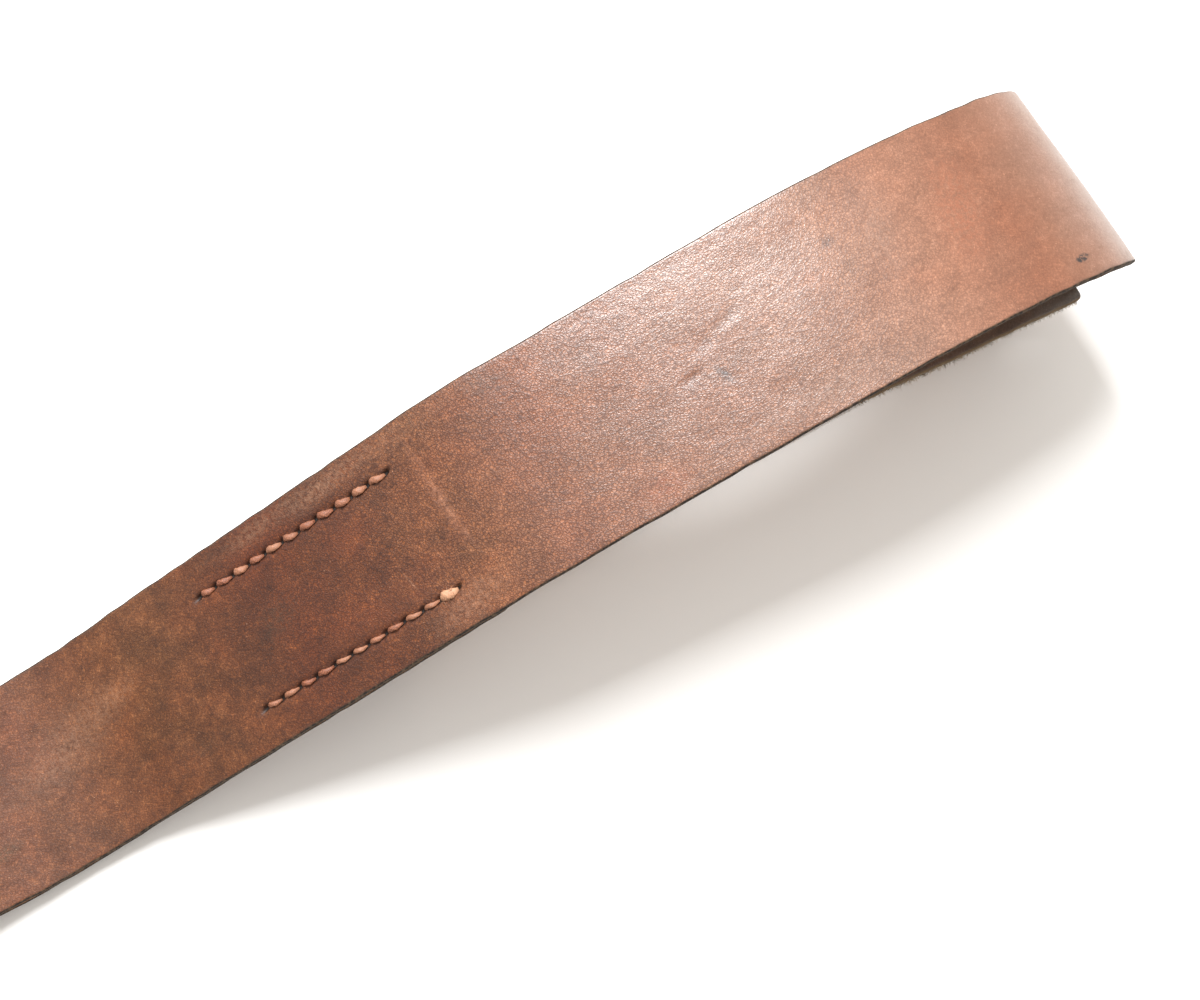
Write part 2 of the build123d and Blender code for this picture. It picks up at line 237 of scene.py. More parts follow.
class Band:
    """A strap: a flat grid with holes and rounded edges, then laid along its side view."""

    def __init__(self, view, grain, half, skin, edge, rows, columns, skew=None):
        self.view, self.grain, self.half, self.skin = view, grain, half, skin
        self.rows, self.columns, self.edge, self.skew = rows, columns, edge, skew
        self.holes, self.faces, self.dents = [], [], []
        self.tip = {}  # radii of the corners at the ends, 2 mm where not given

    def place(self, s, y, h):
        """Points of the frame, in metres, from (s, y) on the flat leather and h over its middle."""
        s, y, h = (np.asarray(a, float) for a in (s, y, h))
        point, normal = self.view.read(s)
        point = point + normal * (self.grain * h)[..., None]
        laid = np.stack([point[..., 0], y + 0 * s, point[..., 1]], -1)
        return (self.skew(s, laid) if self.skew else laid) * MM

    def half_width(self, s):
        """Half the width at s: worn edges and the rounded corners of the ends."""
        wear = 0.16 * drift(s, 0 * s, (31, 1), 5) + 0.12 * drift(s, 0 * s, (4.3, 1), 6)
        half = self.half + wear
        ends = ((s, self.tip.get("start", 2)), (self.view.length - s, self.tip.get("end", 2)))
        for from_end, radius in ends:
            near = np.clip(from_end, 0, radius)
            half = half - (radius - np.sqrt(np.maximum(radius**2 - (radius - near) ** 2, 0)))
        return half

    def build(self, name):
        """The strap's mesh: rings of points round it, holes cut through, and a cap on each end."""
        rows, cols, edge = self.rows, self.columns, self.edge
        count = len(cols)
        ring = [(y, self.skin) for y in cols]
        rounded = edge_profile(self.half, self.skin, edge)
        ring += rounded + [(y, -self.skin) for y in reversed(cols)]
        ring += [(-y, h) for y, h in reversed(rounded)]
        ring_y, ring_h = np.array(ring).T
        n, side = len(ring), len(rounded)
        s = np.repeat(rows, n)
        half = self.half_width(rows)
        scale = np.repeat(half / self.half, n)
        y = np.tile(ring_y, len(rows)) * scale
        h = np.tile(ring_h, len(rows))
        end = np.clip(np.minimum(s, self.view.length - s), 0, edge)
        drop = edge - np.sqrt(np.maximum(edge**2 - (edge - end) ** 2, 0))
        h = h * (self.skin - drop) / self.skin
        points = [np.stack([s, y, h], -1)]
        total = len(s)

        def vertex(i, j):
            return i * n + j % n

        def under(j):
            """Ring index on the bottom face below column j."""
            return 2 * count + side - 1 - j

        skip = set()
        faces = []
        for opening in self.holes:
            (s0, y0), (s1, y1), radius = opening["a"], opening["b"], opening["r"]
            around = radius + HOLE_PAD
            i0 = np.searchsorted(rows, min(s0, s1) - around) - 1
            i1 = np.searchsorted(rows, max(s0, s1) + around)
            j0 = np.searchsorted(cols, min(y0, y1) - around) - 1
            j1 = np.searchsorted(cols, max(y0, y1) + around)
            skip |= {(i, j) for i in range(i0, i1) for j in range(j0, j1)}
            loop = [(i, j0) for i in range(i0, i1)] + [(i1, j) for j in range(j0, j1)]
            loop += [(i, j1) for i in range(i1, i0, -1)] + [(i0, j) for j in range(j1, j0, -1)]
            at = np.array([[rows[i], points[0][vertex(i, j), 1]] for i, j in loop])
            a, b = np.array([s0, y0]), np.array([s1, y1])
            core = np.clip(((at - a) @ (b - a)) / max((b - a) @ (b - a), 1e-9), 0, 1)
            core = a + core[:, None] * (b - a)
            out = (at - core) / np.linalg.norm(at - core, axis=1, keepdims=True)
            middle = (at + core + out * (radius + MOUTH[0][0])) / 2
            rings = [np.c_[middle, np.full(len(at), self.skin)]]
            for outward, depth in MOUTH + tuple((o, LEATHER - d) for o, d in reversed(MOUTH)):
                level = np.full(len(at), self.skin - depth)
                rings.append(np.c_[core + out * (radius + outward), level])
            rings.append(np.c_[middle, np.full(len(at), self.skin - LEATHER)])
            first = total
            for r in rings:
                points.append(r)
                total += len(r)
            top = [vertex(i, j) for i, j in loop]
            bottom = [vertex(i, under(j)) for i, j in loop]
            m = len(loop)
            walls = [[first + k * m + q for q in range(m)] for k in range(len(rings))]
            chain = [top, *walls, bottom]
            for upper, lower in zip(chain, chain[1:]):
                for q in range(m):
                    faces.append((upper[q], lower[q], lower[(q + 1) % m], upper[(q + 1) % m]))
        for i in range(len(rows) - 1):
            for j in range(n):
                column = j if j < count - 1 else 2 * count + side - 2 - j
                if (i, column) in skip:
                    continue
                corners = (i, j), (i, j + 1), (i + 1, j + 1), (i + 1, j)
                faces.append([vertex(*corner) for corner in corners])
        # each end's cap: quads between the faces, and the two rounded edges closed up
        for i, flip in ((0, True), (len(rows) - 1, False)):
            left = list(range(2 * count + side, n))
            right = list(range(count, count + side))
            caps = []
            for j in range(count - 1):
                caps.append((j, j + 1, under(j + 1), under(j)))
            for k in range(side // 2):
                a0 = count - 1 if k == 0 else right[k - 1]
                b0 = under(count - 1) if k == 0 else right[side - k]
                if right[k] != right[side - 1 - k]:
                    caps.append((a0, right[k], right[side - 1 - k], b0))
            caps.append((right[side // 2 - 1], right[side // 2], right[side // 2 + 1]))
            for k in range(side // 2):
                a0 = 0 if k == 0 else left[side - k]
                b0 = under(0) if k == 0 else left[k - 1]
                caps.append((left[side - 1 - k], a0, b0, left[k]))
            caps.append((left[side // 2 + 1], left[side // 2 - 1], left[side // 2]))
            for cap in caps:
                ids = [vertex(i, j) for j in cap]
                faces.append(tuple(ids if not flip else reversed(ids)))
        flat = np.concatenate(points)
        return self.lay(name, flat, faces)

    def lay(self, name, flat, faces):
        """Gives the flat leather its dents and waves, and lays it along its line."""
        s, y, h = flat.T
        half = self.half_width(s)
        face = np.clip(h / self.skin, -1, 1)
        # the dents' painted shade: near-black in the awl holes and the slit, fainter in the
        # scratches
        pit = np.zeros(len(s))
        on_face = smoothstep((np.abs(face) - 0.6) / 0.35)
        lift = 0.10 * drift(s, y, (17, 13), 11) + 0.05 * drift(s, y, (6, 5), 12) - MOST_SWELL
        for hollow in self.dents:
            u, v = s - hollow["s"], y - hollow["y"]
            c, k = math.cos(hollow["angle"]), math.sin(hollow["angle"])
            a, b = (u * c + v * k) / hollow["long"], (-u * k + v * c) / hollow["wide"]
            shape = np.exp(-((a * a + b * b) ** hollow["power"])) * (face > 0)
            lift -= hollow["deep"] * shape
            pit = np.maximum(pit, hollow["hollow_shade"] * shape)
        inner = np.minimum(half - np.abs(y), 3) / 3
        h = h + lift * on_face * np.sign(face) * smoothstep(inner * 2 + 0.2)
        cut = np.stack([s, y, h], -1)
        rim = half - np.abs(y)
        return finished(name, self.place(s, y, h), faces, cut=cut, pit=pit, rim=rim, face=face)


def finished(name, co, faces, **layers):
    """A smooth mesh object, with vectors and numbers on its points for its material to read."""
    mesh = bpy.data.meshes.new(name)
    mesh.from_pydata(co.tolist(), [], faces)
    mesh.validate()
    for label, values in layers.items():
        kind, key = ("FLOAT_VECTOR", "vector") if values.ndim > 1 else ("FLOAT", "value")
        layer = mesh.attributes.new(label, kind, "POINT")
        layer.data.foreach_set(key, values.astype(np.float32).ravel())
    mesh.shade_smooth()
    mesh.update()
    obj = bpy.data.objects.new(name, mesh)
    bpy.context.scene.collection.objects.link(obj)
    return obj


def merged_steps(*parts):
    """Sorted distances from several ranges, without near doubles."""
    values = np.sort(np.concatenate(parts))
    keep = [values[0]]
    for v in values[1:]:
        if v - keep[-1] > 0.05:
            keep.append(v)
    return np.array(keep)


def steps(length, gap, fine=()):
    """Distances along a strap: every gap, closer where fine, and packed at the rounded ends."""
    ends = np.array([0, 0.05, 0.18, 0.4, 0.75, 1.2, 2.0])
    middle = np.arange(2.8, length - 2.8, gap)
    for low, high, close in fine:
        middle = middle[(middle < low - close) | (middle > high + close)]
        middle = np.concatenate([middle, np.arange(low, high, close)])
    return merged_steps(ends, np.sort(middle), length - ends)


face_half = HALF - EDGE
STITCH_PITCH, STITCH_COUNT = 5.3, 11
STITCH_X, STITCH_Y = 61.0, 15.6  # where the rows begin, and how far they are from the middle
NEAR_LAG = 2.0  # the near row begins this much further on
AWL_DRIFT = (0.25, 0.12)  # how far the awl wandered, along and across
stitch_start = top_s(STITCH_X)


def awl_places(row):
    """(s, y) of the awl holes of the far row (1) or the near row (-1) on the top run."""
    lag = NEAR_LAG if row < 0 else 0
    rng = np.random.default_rng(40 + row)
    along, across = AWL_DRIFT
    return [
        (
            stitch_start + lag + STITCH_PITCH * i + rng.uniform(-along, along),
            row * STITCH_Y + rng.uniform(-across, across),
        )
        for i in range(STITCH_COUNT + 1)
    ]


ROLL_SHIFT, RETURN_SHIFT = 8.0, 5.5  # across: the rolled-up part out, and most of the way back
DROOP, TIGHTER = 0.042, 1.8  # of the far edge: share of the arch's height, and mm at its bend


def shoulder_askew(s, laid):
    """The strap as it lies: bowed a little near the keepers, and its rolled-up part askew."""
    x, y, z = laid[..., 0], laid[..., 1], laid[..., 2]
    shift = ROLL_SHIFT * smoothstep((s - S_BEND - 12) / (S_FLOOR - S_BEND - 12))
    shift = shift - RETURN_SHIFT * smoothstep((s - S_INNER + 15) / (S_RETURN - S_INNER + 15))
    climbed = (s - S_RETURN) / (shoulder.length - S_RETURN)
    shift = shift - smoothstep(climbed / 0.5) - 1.5 * smoothstep((climbed - 0.5) / 0.25)
    bow = -1.1 * np.exp(-(((x + 4) / 26) ** 2)) * (s < S_BEND)
    # the arch droops and its bend tightens towards the far edge
    far = np.clip((y + HALF) / WIDTH, 0, 1) ** 1.3
    arch = smoothstep((s - S_ARCH) / (S_BEND + 20 - S_ARCH)) * (s < S_FLOOR)
    bend = smoothstep((s - S_BEND + 30) / 60) * smoothstep((S_FLOOR - s) / 40)
    # and spreads a little at the near one
    shift = shift - 1.3 * bend * np.clip(-y / HALF, 0, 1) ** 2
    return np.stack([x - TIGHTER * bend * far, y + shift + bow, z * (1 - DROOP * arch * far)], -1)


columns = merged_steps(
    np.linspace(-face_half, face_half, 37),
    np.arange(-17.4, -13.7, 0.42),
    np.arange(13.8, 17.5, 0.42),
    np.arange(-1.2, 1.3, 0.4),
)
GRID = 1.5  # gap between rows of points
fine_rows = [
    (stitch_start - 4, stitch_start + 66, 0.45), (shoulder.length - 30, shoulder.length - 10, 0.8),
]
rows = steps(shoulder.length, GRID, fine_rows)
S_ARCH = top_s(ARCH_X)
strap = Band(shoulder, 1, HALF, SKIN, EDGE, rows, columns, shoulder_askew)
BUTTON_FROM_END, BUTTON_RADIUS = 16, 4.0
PRONG_SLOT_REACH, PRONG_SLOT_RADIUS = 10.4, 3.1


def hole(start, end, radius):
    """A round hole, or a slot between two distances, in the middle of a strap."""
    return {"a": (start, 0), "b": (end, 0), "r": radius}


def dent(s, y, angle, long, wide, deep, hollow_shade=0, power=1.0):
    """An elliptic hollow in the top face, which can be darkened by painted shade; a high power
    gives it steep sides.
    """
    return {
        "s": s, "y": y, "angle": angle, "long": long, "wide": wide,
        "deep": deep, "hollow_shade": hollow_shade, "power": power,
    }


def button_hole(band):
    """The hole for the guitar's button near a strap's end, and the slit behind it, drawn as a dent
    in black painted shade.
    """
    s = band.view.length - BUTTON_FROM_END
    band.holes.append(hole(s, s, BUTTON_RADIUS))
    band.dents.append(dent(s - 10, 0.0, 0.0, 6.2, 0.45, 0.9, 1.0, 3))


strap.holes.append(hole(S_FOLD - PRONG_SLOT_REACH, S_TOP + PRONG_SLOT_REACH, PRONG_SLOT_RADIUS))
button_hole(strap)
# the awl holes are dents painted near-black, painted shade in the holes between the stitches
for row in (1, -1):
    for s, y in awl_places(row):
        strap.dents.append(dent(s, y, 0.35, 1.5, 0.62, 1.1, 1.0, 1.6))
    row_middle = stitch_start + STITCH_PITCH * STITCH_COUNT / 2
    strap.dents.append(dent(row_middle, row * STITCH_Y, 0.0, 30, 1.5, 0.22, power=3))
for x, y, *shape in (
    (181.7, -1.8, 0.2, 1.6, 0.6, 0.35, 0.3),
    (187.7, 3.4, 0.3, 1.9, 0.7, 0.3, 0.25),
    (196.7, 6.5, 0.9, 0.9, 0.8, 0.4, 0.5),
    (193.8, 5.4, 0.4, 1.2, 0.7, 0.3, 0.25),
    (188.6, -5.1, -1.2, 2.6, 0.8, 0.15, 0.3),
):
    strap.dents.append(dent(top_s(x), y, *shape))
shoulder_strap = strap.build("shoulder_leather")

tail_columns = merged_steps(np.linspace(-face_half, face_half, 37), np.arange(-1.2, 1.3, 0.4))
tail_rows = steps(tail.length, GRID, [(0.3, 12, 0.6), (tail.length - 30, tail.length - 10, 0.8)])
tail_band = Band(tail, -1, HALF, SKIN, EDGE, tail_rows, tail_columns)
tail_band.tip = {"start": 20}
climb_middle = (TAIL_OVER_Z - FLOOR_Z) / 2 / math.tan(CLIMB)
SLOT_PITCH, SLOT_REACH, SLOT_RADIUS = 25.0, 3.75, 2.75
slot_xs = [TAIL_FOOT_X + ((TAIL_OVER_Z - FLOOR_Z) / 2 + 1.7) / math.tan(CLIMB)]
slot_xs += [TAIL_FOOT_X - SLOT_PITCH + climb_middle - SLOT_PITCH * i for i in range(6)]
for x in slot_xs:
    s = float(np.interp(-x, -tail.line[: tail_turn - 1, 0], tail.at[: tail_turn - 1]))
    tail_band.holes.append(hole(s - SLOT_REACH, s + SLOT_REACH, SLOT_RADIUS))
button_hole(tail_band)
tail_strap = tail_band.build("tail_leather")

# ---------------------------------------------------------------- materials


class Look:
    """One node material, built in a line or two a layer."""

    def __init__(self, name):
        self.material = bpy.data.materials.new(name)
        self.material.use_nodes = True
        self.tree = self.material.node_tree
        self.tree.nodes.clear()
        out = self.tree.nodes.new("ShaderNodeOutputMaterial")
        self.shader = self.tree.nodes.new("ShaderNodeBsdfPrincipled")
        self.tree.links.new(self.shader.outputs[0], out.inputs[0])

    def node(self, kind, inputs=(), **settings):
        made = self.tree.nodes.new("ShaderNode" + kind)
        for key, value in settings.items():
            setattr(made, key, value)
        for key, value in dict(inputs).items():
            self.put(made.inputs[key], value)
        return made

    def put(self, socket, value):
        if isinstance(value, bpy.types.NodeSocket):
            self.tree.links.new(value, socket)
        else:
            socket.default_value = value

    def attribute(self, name, output="Fac"):
        return self.node("Attribute", attribute_name=name).outputs[output]

    def math(self, operation, a, b=0.0, clamp=False):
        return self.node("Math", {0: a, 1: b}, operation=operation, use_clamp=clamp).outputs[0]

    def fade(self, value, low, high, to_low=0.0, to_high=1.0):
        """Smooth change from to_low at low to to_high at high."""
        inputs = {
            "Value": value, "From Min": low, "From Max": high, "To Min": to_low, "To Max": to_high,
        }
        return self.node("MapRange", inputs, interpolation_type="SMOOTHSTEP").outputs[0]

    def times(self, vector, by):
        return self.node("VectorMath", {0: vector, 1: by}, operation="MULTIPLY").outputs[0]

    def noise(self, vector, scale, detail=2.0, roughness=0.5, distortion=0.0, stretch=None):
        if stretch:
            vector = self.times(vector, stretch)
        inputs = {
            "Vector": vector, "Scale": scale, "Detail": detail, "Roughness": roughness,
            "Distortion": distortion,
        }
        return self.node("TexNoise", inputs).outputs["Fac"]

    def cells(self, vector, scale):
        """Distance from the cracks between small cells."""
        inputs = {"Vector": vector, "Scale": scale}
        return self.node("TexVoronoi", inputs, feature="DISTANCE_TO_EDGE").outputs["Distance"]

    def mix(self, amount, a, b, blend="MIX"):
        inputs = {"Factor": amount, 6: a, 7: b}
        return self.node("Mix", inputs, data_type="RGBA", blend_type=blend).outputs[2]

    def ramp(self, value, stops):
        made = self.node("ValToRGB", {"Fac": value})
        points = made.color_ramp.elements
        for place, colour in stops[2:]:
            points.new(place)
        for point, (place, colour) in zip(points, stops):
            point.position, point.color = place, rgb(*colour)
        return made.outputs["Color"]

    def blob(self, vector, centre, angle, long, wide, hard=0.35):
        """1 inside a soft-edged ellipse on the flat leather, 0 outside."""
        inputs = {
            "Vector": vector, "Location": (*centre, 0), "Rotation": (0, 0, angle),
            "Scale": (long, wide, 1),
        }
        moved = self.node("Mapping", inputs, vector_type="TEXTURE").outputs[0]
        reach = self.node("VectorMath", {0: moved}, operation="LENGTH").outputs["Value"]
        return self.fade(reach, 1.0 + (1 - hard) * 0.5, hard, 0.0, 1.0)

    def bump(self, height, distance, strength=1.0, normal=None):
        inputs = {"Height": height, "Distance": distance, "Strength": strength}
        if normal is not None:
            inputs["Normal"] = normal
        return self.node("Bump", inputs).outputs[0]

    def done(self, **sockets):
        for key, value in sockets.items():
            self.put(self.shader.inputs[key.replace("_", " ")], value)
        return self.material


def rgb(r, g, b):
    """Linear colour with alpha from sRGB given in 0-255."""
    def linear(c):
        c = c / 255
        return c / 12.92 if c <= 0.04045 else ((c + 0.055) / 1.055) ** 2.4

    return (linear(r), linear(g), linear(b), 1.0)


def leather_look(name, tones, grit, marks=(), raw_end=0.0):
    """Oiled, worn saddle leather, in millimetres on the flat piece.

    tones are colours along the strap, and grit the strengths of its grain, polish and clouding.
    """
    look = Look(name)
    cut = look.attribute("cut", "Vector")
    at = look.times(cut, (1, 1, 0))
    face, rim, pit = look.attribute("face"), look.attribute("rim"), look.attribute("pit")
    along = look.node("SeparateXYZ", {0: cut}).outputs
    place = look.math("MULTIPLY", along[0], 1 / shoulder.length)
    # the three strengths travel as a colour, so the ramp's sRGB curve is about undone
    packed = look.ramp(place, [(p, [255 * v for v in g]) for p, *g in grit])
    channels = look.node("SeparateColor", {0: packed}).outputs
    strength, gloss, clouding = (look.math("POWER", channels[k], 1 / 2.2) for k in (0, 1, 2))

    def shade(tone, amount, by):
        return look.mix(amount, tone, (*by, 1), "MULTIPLY")

    def cloud(tone, value, low, high, most, by):
        """Shades the tone where the value passes from low to high, as much as there is clouding."""
        amount = look.math("MULTIPLY", clouding, look.fade(value, low, high, 0.0, most))
        return shade(tone, amount, by)

    base = look.ramp(place, tones)
    wander = look.noise(at, 0.03, 4, 0.6)
    patches = look.noise(at, 0.085, 5, 0.62, 0.15, stretch=(0.8, 1, 1))
    wisps = look.noise(at, 0.33, 4, 0.7, 0.5, stretch=(0.5, 1, 1))
    dust = look.noise(at, 0.21, 5, 0.75, 0.3)
    tone = shade(base, look.fade(wander, 0.35, 0.62, 0.6, 0.0), (0.84, 0.72, 0.62))
    tone = cloud(tone, patches, 0.54, 0.36, 0.7, (0.66, 0.68, 0.66))
    tone = cloud(tone, patches, 0.5, 0.68, 0.8, (1.3, 1.24, 1.18))
    tone = cloud(tone, wisps, 0.48, 0.32, 0.75, (0.7, 0.68, 0.66))
    tone = cloud(tone, dust, 0.5, 0.68, 1.0, (1.42, 1.55, 1.72))
    tone = cloud(tone, dust, 0.5, 0.34, 0.6, (0.66, 0.62, 0.6))
    # pebbled grain: pale rubbed tops and dark pores, strengthened as painted highlight on the bumps
    # and painted shade in the pores; a few pale specks
    pebbles = look.noise(at, 1.25, 3, 0.6, 0.3)
    pores = look.noise(at, 2.9, 2, 0.6)
    domes = look.fade(look.cells(at, 1.5), 0.0, 0.22)
    grain = look.math("ADD", look.math("MULTIPLY", pebbles, 0.5), look.math("MULTIPLY", pores, 0.3))
    grain = look.math("ADD", grain, look.math("MULTIPLY", domes, 0.2))
    low = look.math("MULTIPLY", look.fade(grain, 0.52, 0.40), strength)
    high = look.math("MULTIPLY", look.fade(grain, 0.55, 0.67), strength)
    tone = shade(tone, look.math("MULTIPLY", low, 0.85), (0.5, 0.4, 0.33))
    tone = shade(tone, look.math("MULTIPLY", high, 0.9), (1.55, 1.58, 1.56))
    # the rubbed nap, and short pale strokes three ways across it
    nap = look.noise(at, 2.1, 4, 0.75)
    tone = cloud(tone, nap, 0.5, 0.66, 0.7, (1.4, 1.42, 1.42))
    tone = cloud(tone, nap, 0.5, 0.36, 0.6, (0.66, 0.64, 0.62))
    for angle, pick in ((0.5, 0.56), (-0.8, 0.57), (1.7, 0.58)):
        inputs = {"Vector": at, "Angle": angle}
        turned = look.node("VectorRotate", inputs, rotation_type="Z_AXIS").outputs[0]
        strokes = look.noise(turned, 1.15, 3, 0.6, stretch=(0.32, 1.9, 1))
        tone = cloud(tone, strokes, pick, pick + 0.07, 0.8, (1.5, 1.62, 1.7))
    specks = look.noise(at, 1.9, 1, 0.4)
    tone = look.mix(look.fade(specks, 0.745, 0.80, 0.0, 0.4), tone, rgb(206, 160, 128))
    for colour, amount, centre, angle, long, wide, hard in marks:
        mask = look.blob(at, centre, angle, long, wide, hard)
        ragged = look.fade(look.noise(at, 0.8, 5, 0.75), 0.40, 0.62, 0.1, 1.0)
        mask = look.math("MULTIPLY", mask, ragged)
        tone = look.mix(look.math("MULTIPLY", mask, amount), tone, rgb(*colour))
    # rubbed grey-brown border and burnished dark edge
    rubbed = look.fade(look.noise(at, 0.3, 4, 0.7), 0.44, 0.66)
    border = look.math("MULTIPLY", look.fade(rim, 1.5, 0.2), rubbed)
    tone = look.mix(look.math("MULTIPLY", border, 0.45), tone, rgb(80, 60, 50))
    # painted shade in the dents: near-black in the awl holes and the slit, fainter in the scratches
    tone = look.mix(pit, tone, rgb(14, 9, 7))
    edge_noise = look.noise(cut, 0.8, 3, 0.65)
    edge_tone = look.mix(look.fade(edge_noise, 0.42, 0.66), rgb(36, 28, 21), rgb(88, 70, 52))
    edge_tone = look.mix(look.fade(place, 0.88, 0.92, 0.0, raw_end), edge_tone, rgb(104, 82, 54))
    flesh_fibres = look.noise(cut, 1.6, 4, 0.7, 0.8, stretch=(0.5, 1.2, 1))
    flesh = look.mix(look.fade(flesh_fibres, 0.35, 0.7), rgb(104, 72, 52), rgb(168, 130, 98))
    flesh = shade(flesh, look.fade(patches, 0.55, 0.35, 0.0, 0.5), (0.78, 0.72, 0.68))
    flesh = shade(flesh, look.fade(dust, 0.5, 0.7, 0.0, 0.5), (1.25, 1.25, 1.25))
    tone = look.mix(look.fade(face, 0.985, 0.86), tone, edge_tone)
    tone = look.mix(look.fade(face, -0.7, -0.92), tone, flesh)
    # gloss and relief
    shine = look.math("MULTIPLY", gloss, 0.08)
    rough = look.math("SUBTRACT", look.fade(grain, 0.42, 0.66, 0.66, 0.54), shine)
    rough = look.math("ADD", rough, look.fade(wisps, 0.5, 0.3, 0.0, 0.12))
    rough = look.math("ADD", rough, look.fade(face, 0.97, 0.75, 0.0, 0.5), clamp=True)
    depth = look.math("ADD", look.math("MULTIPLY", strength, 1.4), 0.06)
    relief = look.math("MULTIPLY", grain, depth)
    slack = look.fade(strength, 0.0, 0.5, 0.1, 1.0)
    swells = look.math("MULTIPLY", look.noise(at, 0.42, 3, 0.55), slack)
    big = look.bump(swells, 0.0006, 0.17)
    fine = look.bump(relief, 0.0002, 0.75, big)
    polish = look.math("MULTIPLY", gloss, look.fade(face, 0.9, 0.99, 0.0, 1.0))
    return look.done(
        Base_Color=tone, Roughness=rough, Normal=fine, Specular_IOR_Level=0.5,
        Coat_Weight=polish, Coat_IOR=1.55, Coat_Roughness=0.27,
        Coat_Normal=look.bump(relief, 0.0002, 0.25, big),
    )


def spot(x, y):
    return (top_s(x), y)


# place along the top run, colour, then how strong its grain, its polish and its clouding are
STOPS = [
    (-106, (95, 52, 26), 0.5, 0.1, 1.0),
    (0, (96, 53, 27), 0.5, 0.1, 1.0),
    (45, (97, 57, 30), 0.6, 0.1, 1.0),
    (78, (82, 38, 13), 0.75, 0.1, 1.0),
    (100, (85, 43, 16), 0.95, 0.15, 1.0),
    (122, (110, 65, 37), 1.0, 0.25, 0.9),
    (145, (112, 66, 40), 1.0, 0.4, 0.6),
    (180, (121, 79, 56), 1.0, 1.0, 0.4),
    (222, (130, 90, 68), 0.85, 1.0, 0.4),
    (242, (134, 90, 67), 0.5, 0.4, 0.45),
    (265, (122, 77, 54), 0.25, 0.15, 0.45),
    (273, (127, 88, 68), 0.15, 0.15, 0.35),
    # towards the bend's outline the stops pale to grey-white: painted grazing reflection, with some
    # paler wear
    (282, (140, 108, 93), 0.1, 0.2, 0.25),
    (291, (153, 134, 124), 0.0, 0.25, 0.2),
    (299, (174, 167, 165), 0.0, 0.25, 0.2),
]
# the rolled-up part's colours darken towards its end under the arch: painted shade from the top ply
# above it
far_side = S_BEND + 0.75 * (S_FLOOR - S_BEND)
rolled_up_shaded_tones = [
    (far_side, (120, 80, 60)), (shoulder.length - 95, (92, 62, 44)),
    (shoulder.length, (68, 51, 34)),
]
tones = [(0.0, (104, 68, 52))] + [(top_s(x) / shoulder.length, c) for x, c, *_ in STOPS]
tones += [(s / shoulder.length, c) for s, c in rolled_up_shaded_tones]
grit = [(0.0, 0.3, 0.1, 0.7)]
grit += [(top_s(x) / shoulder.length, *g) for x, _, *g in STOPS] + [(1.0, 0.3, 0.1, 0.7)]
# scuffs, stains and scratches: colour, amount, place, angle, half length and width, hardness
MARKS = [
    ((62, 46, 36), 0.55, spot(142, 21), -0.35, 6.5, 3.0, 0.2),
    ((40, 34, 32), 1.6, spot(275.0, -19.9), 0.1, 2.1, 0.95, 0.6),
    ((60, 50, 34), 0.6, spot(-10, -12.6), 0.2, 4.2, 1.8, 0.3),
    ((70, 46, 38), 0.9, spot(222.6, 9.5), 0.5, 1.8, 1.5, 0.3),
    ((74, 62, 60), 1.0, spot(188.6, -5.1), -1.1, 3.4, 0.9, 0.3),
    ((176, 124, 96), 0.34, spot(122.3, -0.6), -1.45, 10.5, 0.7, 0.1),
    ((160, 108, 82), 0.45, spot(121.5, 4.0), -1.5, 14, 1.7, 0.0),
    ((62, 46, 32), 0.5, spot(75.5, 1.0), 0.4, 8.0, 5.0, 0.0),
    ((58, 44, 34), 0.35, spot(40.0, -16.0), 0.1, 16.0, 4.0, 0.0),
    ((150, 108, 80), 0.35, spot(30.0, 7.0), 0.2, 9.0, 3.5, 0.0),
    ((150, 106, 80), 0.4, spot(98.0, 20.6), 0.15, 7.5, 2.2, 0.0),
    ((140, 98, 72), 0.35, spot(79.0, 21.3), 0.1, 7.0, 2.2, 0.0),
    ((108, 54, 28), 0.45, spot(98.0, -12.0), 0.1, 16.0, 6.0, 0.0),
    ((110, 56, 30), 0.4, spot(98.0, 8.0), 0.3, 8.0, 6.0, 0.0),
    ((148, 84, 54), 0.55, spot(254.0, 3.0), 1.3, 14.0, 6.5, 0.0),
    ((150, 126, 112), 0.2, spot(234.0, 6.0), 1.4, 13.0, 5.0, 0.0),
    ((158, 140, 130), 0.25, spot(204.0, -19.5), 0.0, 20.0, 3.6, 0.0),
    ((150, 78, 46), 0.4, spot(165.0, -20.0), 0.0, 7.0, 3.5, 0.0),
    ((110, 66, 46), 0.35, spot(216.0, 17.0), 0.3, 5.0, 3.5, 0.0),
    ((186, 138, 108), 0.4, spot(106.9, -8.8), -1.3, 2.8, 0.25, 0.3),
    ((142, 106, 82), 0.45, spot(100.0, 22.0), 0.0, 34.0, 3.0, 0.0),
    ((160, 116, 90), 0.5, spot(117.0, -20.0), 0.1, 11.0, 4.5, 0.0),
    ((150, 112, 88), 0.35, spot(14.0, 3.0), 0.3, 20.0, 7.0, 0.0),
]
leather = leather_look("saddle_leather", tones, grit, MARKS, raw_end=0.7)
shoulder_strap.data.materials.append(leather)
tail_grit = [(place, 0.4, 0.2, 0.8) for place in (0.0, 1.0)]
tail_look = leather_look("tail_leather", [(0.0, (116, 76, 57)), (1.0, (100, 66, 50))], tail_grit)
tail_strap.data.materials.append(tail_look)

# ---------------------------------------------------------------- keepers


